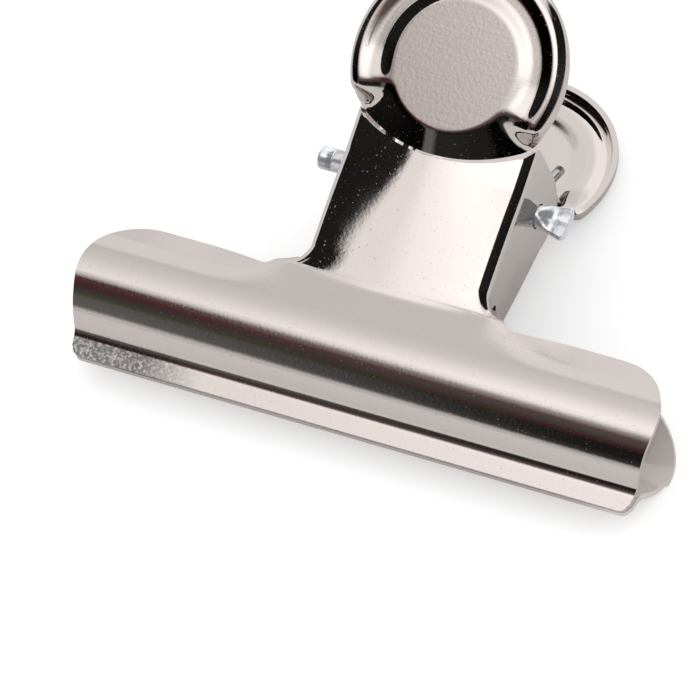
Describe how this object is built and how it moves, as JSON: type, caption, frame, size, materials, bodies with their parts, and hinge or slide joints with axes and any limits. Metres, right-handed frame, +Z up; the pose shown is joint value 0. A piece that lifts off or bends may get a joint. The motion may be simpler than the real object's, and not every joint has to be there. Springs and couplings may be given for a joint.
{
  "type": "bulldog clip",
  "caption": "Wide sprung paper clip: rolled sheet-steel jaws on a wire pin, opened by squeezing round thumb pads.",
  "frame": {"origin": "centre of the clip's floor area, on the surface that the shut clip lies on", "axes": "+X along the pin towards its crushed end, +Y from the lips towards the thumb pads, +Z up from the back plate to the front plate"},
  "size_m": [0.075, 0.0588, 0.0345],
  "materials": {
    "nickel_plate": "mirror-bright nickel plate with fine scratches",
    "zinc_wire": "bright zinc-plated wire",
    "spring_wire": "drawn steel wire"
  },
  "bodies": {
    "back": {"back_plate": "nickel_plate", "torsion_spring": "spring_wire"},
    "front": {"front_plate": "nickel_plate"},
    "pin": {"pivot_pin": "zinc_wire"}
  },
  "joints": [
    {"name": "jaw_hinge", "type": "hinge", "parent": "back", "child": "front", "pos_m": [0, 0.00245, 0.01181], "axis": [-1, 0, 0], "range_deg": [0, 60], "stiffness_Nm_per_rad": 0.08, "springref_deg": -57.3, "deforming": ["torsion_spring"]},
    {"name": "pin_turn", "type": "hinge", "parent": "back", "child": "pin", "pos_m": [0, 0.00245, 0.01181], "axis": [-1, 0, 0], "range_deg": [0, 30]}
  ],
  "couplings": [
    {"joint": "pin_turn", "follows": "jaw_hinge", "ratio": 0.5}
  ]
}
